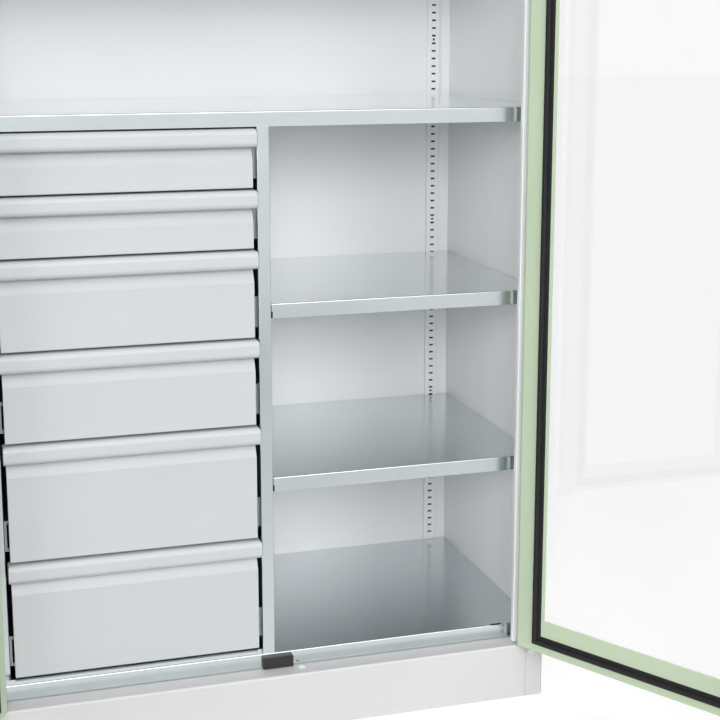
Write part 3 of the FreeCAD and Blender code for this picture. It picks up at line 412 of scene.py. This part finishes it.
# Door frames and closing strip: folded box sections of steel, welded at the corners and ground flat,
# then coated with a pale green powder of the same satin gloss as the housing.
DOOR_GREEN = "#B9C9AE"

door_coat = powder_coat("powder_coat_pale_green", DOOR_GREEN, SATIN_ROUGHNESS)
dress(door_coat, "right_door_frame", "left_door_frame", "closing_strip")

# Door panes: cast acrylic sheet, clear and colourless, bonded to the outer side of each frame's lip.
# The panes let the lamps through in full, because clear sheet hardly dims what stands behind it.
ACRYLIC_CLEAR = "#F8F8F8"
ACRYLIC_IOR = 1.49
ACRYLIC_ROUGHEST = 0.03
ACRYLIC_WAVE_MM = 120.0


def cast_acrylic(name):
    """Cast acrylic: clear, with the faintest waviness that drifts over its gloss."""
    material, tree, place = new_material(name)
    wave = add(tree, "TexNoise", Vector=place, Scale=per_metre(ACRYLIC_WAVE_MM), Detail=1.0)
    gloss = add(tree, "MapRange", Value=wave.outputs["Fac"], To_Min=0.0, To_Max=ACRYLIC_ROUGHEST)
    shader = add(tree, "BsdfPrincipled", Base_Color=linear(ACRYLIC_CLEAR), Roughness=gloss.outputs["Result"],
                 IOR=ACRYLIC_IOR, Transmission_Weight=1.0)
    add(tree, "OutputMaterial", Surface=shader.outputs["BSDF"])
    return material


clear_acrylic = cast_acrylic("cast_clear_acrylic")
for pane in ("right_door_pane", "left_door_pane"):
    dress(clear_acrylic, pane)
    nodes[pane].visible_shadow = False
    nodes[pane].visible_diffuse = False

# Door seals: soft black rubber, extruded as a hollow bulb on a flat foot, stuck round each door's inner face
# and mitred at the corners. The bulb meets the housing's front flange when the door is shut.
# Only its outer skin is drawn, and its places are those of the closed door.
RUBBER_BLACK = "#161717"
RUBBER_ROUGHNESS = 0.68
RUBBER_IOR = 1.52
RUBBER_SPECULAR = 0.3
RUBBER_SHADE = 0.3
RUBBER_GLOSS_DRIFT = 0.08
RUBBER_BLOOM_MM = 40.0
RUBBER_SKIN_MM = 1.2
RUBBER_SKIN_HEIGHT = 0.0002
RUBBER_SKIN_STRENGTH = 0.1
SEAL_LEFT = 0.021
SEAL_RIGHT = 0.464
SEAL_FACE_Y = 0.00975
SEAL_WIDTH = 0.018
SEAL_HEIGHT = 0.0082
SEAL_FOOT = 0.0022
SEAL_CHAMFER = 0.00066
BULB_MIDDLE = 0.0068
BULB_HALF_WIDTH = 0.0052
BULB_STEPS = 15


def extruded_rubber(name, colour, roughness):
    """Extruded rubber: near black and matt, with a faint grey bloom, and a rough skin that is drawn coarser
    than the real one so that it shows."""
    material, tree, place = new_material(name)
    darker, lighter = shade_pair(colour, RUBBER_SHADE)
    bloom = add(tree, "TexNoise", Vector=place, Scale=per_metre(RUBBER_BLOOM_MM), Detail=3.0)
    skin = add(tree, "TexNoise", Vector=place, Scale=per_metre(RUBBER_SKIN_MM), Detail=2.0)
    gloss = add(tree, "MapRange", Value=bloom.outputs["Fac"], To_Min=roughness - RUBBER_GLOSS_DRIFT,
                To_Max=roughness + RUBBER_GLOSS_DRIFT)
    tint = add(tree, "Mix", {"data_type": "RGBA"}, _0=bloom.outputs["Fac"], _6=darker, _7=lighter)
    relief = add(tree, "Bump", Height=skin.outputs["Fac"], Strength=RUBBER_SKIN_STRENGTH,
                 Distance=RUBBER_SKIN_HEIGHT)
    shader = add(tree, "BsdfPrincipled", Base_Color=tint.outputs[2], Roughness=gloss.outputs["Result"],
                 Normal=relief.outputs["Normal"], IOR=RUBBER_IOR, Specular_IOR_Level=RUBBER_SPECULAR)
    add(tree, "OutputMaterial", Surface=shader.outputs["BSDF"])
    return material


def seal_section():
    """The seal's section as (inset, height): up the outer side of the foot, over the bulb by the half ellipse
    height = foot + (top - foot) sin(a), along the foot and down its inner side."""
    arc = np.linspace(np.pi, 0, BULB_STEPS)
    bulb = np.stack([BULB_MIDDLE + BULB_HALF_WIDTH * np.cos(arc),
                     SEAL_FOOT + (SEAL_HEIGHT - SEAL_FOOT) * np.sin(arc)], -1)
    side = np.array([(0.0, 0.0), (0.0, SEAL_FOOT - SEAL_CHAMFER), (SEAL_CHAMFER, SEAL_FOOT)])
    far_side = ((SEAL_WIDTH, 0.0) + side * (-1, 1))[::-1]
    return np.concatenate([side, bulb, far_side])


def mitred_ring(section, left, right, low, high, face):
    """A section carried round a rectangle: each of its points draws that rectangle drawn in by the point's
    inset, at the point's height above the face. The first corner is repeated to close the ring."""
    inset, height = section.T
    from_left = np.array([1, -1, -1, 1, 1])[:, None]
    from_low = np.array([1, 1, -1, -1, 1])[:, None]
    x = np.array([left, right, right, left, left])[:, None] + from_left * inset
    z = np.array([low, low, high, high, low])[:, None] + from_low * inset
    return np.stack([x, np.broadcast_to(face + height, x.shape), z], -1)


seal_rubber = extruded_rubber("extruded_black_rubber", RUBBER_BLACK, RUBBER_ROUGHNESS)
seal_low, seal_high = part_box("right_door_seal")
ring = swung(mitred_ring(seal_section(), SEAL_LEFT, SEAL_RIGHT, seal_low.z, seal_high.z, SEAL_FACE_Y))
for hand, side in (("right", 1), ("left", -1)):
    handed_ring = ring * (side, 1, 1)
    seal = surface(f"{hand}_bulb_seal", handed_ring[None], seal_rubber, f"{hand}_door")
    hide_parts(f"{hand}_door_seal")

# Lock cylinder: turned brass, nickel plated and then chromed to a bright skin, with a slot for the key.
# It turns in the handle's plate and blocks the lever when the key is out.
CHROME = "#D5D8DA"
CHROME_ROUGHNESS = 0.12

chrome_plate = plated_metal("chrome_plate", CHROME, CHROME_ROUGHNESS)
dress(chrome_plate, "lock_cylinder")

# Studio: a pale paper floor that takes the shadow, and a plain white world round it. Their full glow is only
# for where they are seen, mirrored or looked through, so that they hardly add to the light on the cabinet.
# The floor glows less in a patch before the cabinet, which the zinc edges mirror as a darker band.
WHITE = "#FFFFFF"
PAPER_GREY = "#B4B4B4"
FLOOR_HALF = 30.0
FLOOR_DIM_SPOT = (-0.2, -2.4, 0.0)
FLOOR_DIM_NEAR = 0.6
FLOOR_DIM_FAR = 2.6
FLOOR_GLOW_DIM = 0.2
FLOOR_GLOW_FULL = 0.62
WORLD_SHOWN = 1.0
WORLD_LIGHT = 0.05


def floor_mesh(half):
    """One flat square, 2 x half on each side, at the height of the plinth's lower edge."""
    corner = np.array([(-1, -1, 0), (1, -1, 0), (1, 1, 0), (-1, 1, 0)], float) * half
    mesh = bpy.data.meshes.new("studio_floor")
    mesh.from_pydata(corner.tolist(), [], [(0, 1, 2, 3)])
    return mesh


def seen_share(tree):
    """One for rays that come from the camera, off a glossy surface or through clear sheet, else nought."""
    sight = add(tree, "LightPath").outputs
    plain = add(tree, "Math", {"operation": "MAXIMUM"}, _0=sight["Is Camera Ray"],
                _1=sight["Is Transmission Ray"])
    every = add(tree, "Math", {"operation": "MAXIMUM"}, _0=plain.outputs["Value"], _1=sight["Is Glossy Ray"])
    return every.outputs["Value"]


floor = bpy.data.objects.new("studio_floor", floor_mesh(FLOOR_HALF))
bpy.context.scene.collection.objects.link(floor)
paper, paper_tree, floor_place = new_material("white_paper_floor")
reach = add(paper_tree, "VectorMath", {"operation": "DISTANCE"}, _0=floor_place, _1=FLOOR_DIM_SPOT)
fade = add(paper_tree, "MapRange", {"interpolation_type": "SMOOTHSTEP"}, Value=reach.outputs["Value"],
           From_Min=FLOOR_DIM_NEAR, From_Max=FLOOR_DIM_FAR, To_Min=FLOOR_GLOW_DIM, To_Max=FLOOR_GLOW_FULL)
strength = add(paper_tree, "Math", {"operation": "MULTIPLY"}, _0=seen_share(paper_tree),
               _1=fade.outputs["Result"])
matt = add(paper_tree, "BsdfDiffuse", Color=linear(PAPER_GREY))
glow = add(paper_tree, "Emission", Color=linear(WHITE), Strength=strength.outputs["Value"])
both = add(paper_tree, "AddShader", _0=matt.outputs["BSDF"], _1=glow.outputs["Emission"])
add(paper_tree, "OutputMaterial", Surface=both.outputs["Shader"])
floor.data.materials.append(paper)

world = bpy.data.worlds.new("studio")
bpy.context.scene.world = world
world.use_nodes = True
sky = world.node_tree
sky.nodes.clear()
shown = add(sky, "Background", Color=linear(WHITE), Strength=WORLD_SHOWN)
soft = add(sky, "Background", Color=linear(WHITE), Strength=WORLD_LIGHT)
ground = add(sky, "MixShader", _0=seen_share(sky), _1=soft.outputs["Background"],
             _2=shown.outputs["Background"])
add(sky, "OutputWorld", Surface=ground.outputs["Shader"])

# Lamps: far, wide sources from the left, front and right, low enough to reach the back of the compartments,
# a wider one above the front, one overhead, one behind, and a soft panel above the camera.
# Only the left and the upper one show in the metal, because the others would glare in the folded edges.
PANEL_POWER = 30.0
PANEL_SIDE = 1.0
PANEL_PLACE = Vector((-0.4, -2.6, 1.5))
PANEL_AIM = Vector((0.0, 0.3, 0.8))
LAMP_SPREAD_DEG = 28.0
UPPER_SPREAD_DEG = 44.0


def hang_lamp(lamp, place, aim, mirrored):
    """Hangs a lamp at a place, facing a point, and says whether metal mirrors it."""
    stand = bpy.data.objects.new(lamp.name, lamp)
    stand.location = place
    stand.rotation_euler = (aim - place).to_track_quat("-Z", "Y").to_euler()
    stand.visible_glossy = mirrored
    bpy.context.scene.collection.objects.link(stand)


def far_light(name, strength, turn_deg, height_deg, spread_deg=LAMP_SPREAD_DEG, mirrored=False):
    """A far light: its direction is turned from the front towards +X and raised from the floor."""
    turn, height = math.radians(turn_deg), math.radians(height_deg)
    lamp = bpy.data.lights.new(name, "SUN")
    lamp.energy = strength
    lamp.angle = math.radians(spread_deg)
    level = math.cos(height)
    place = Vector((math.sin(turn) * level, -math.cos(turn) * level, math.sin(height)))
    hang_lamp(lamp, place, Vector((0.0, 0.0, 0.0)), mirrored)


far_light("left_far_light", strength=1.5, turn_deg=-52.0, height_deg=5.0, mirrored=True)
far_light("front_far_light", strength=0.25, turn_deg=0.0, height_deg=5.0)
far_light("right_far_light", strength=0.8, turn_deg=25.0, height_deg=8.0)
far_light("upper_far_light", strength=1.3, turn_deg=0.0, height_deg=30.0, spread_deg=UPPER_SPREAD_DEG,
          mirrored=True)
far_light("top_far_light", strength=0.75, turn_deg=-10.0, height_deg=78.0)
far_light("rear_far_light", strength=1.5, turn_deg=140.0, height_deg=25.0)
panel = bpy.data.lights.new("front_soft_panel", "AREA")
panel.energy = PANEL_POWER
panel.size = PANEL_SIDE
hang_lamp(panel, PANEL_PLACE, PANEL_AIM, mirrored=False)

# Camera: about chest high and a little left of the middle, turned right and tipped down to the lower half.
# A long lens keeps the shelves' edges nearly level, and a small shift keeps the uprights nearly upright.
CAMERA_PLACE = (-0.5558, -2.3036, 1.2004)
CAMERA_TURN_DEG = 17.11
CAMERA_DIP_DEG = 10.68
CAMERA_SENSOR_MM = 36.0
CAMERA_LENS_MM = 73.62
CAMERA_SHIFT = -0.08

camera_data = bpy.data.cameras.new("camera")
camera_data.sensor_width = CAMERA_SENSOR_MM
camera_data.lens = CAMERA_LENS_MM
camera_data.shift_y = CAMERA_SHIFT
camera = bpy.data.objects.new("camera", camera_data)
camera.location = CAMERA_PLACE
camera.rotation_euler = (math.radians(90 - CAMERA_DIP_DEG), 0.0, -math.radians(CAMERA_TURN_DEG))
bpy.context.scene.collection.objects.link(camera)
bpy.context.scene.camera = camera

bpy.context.scene.view_settings.view_transform = "Standard"
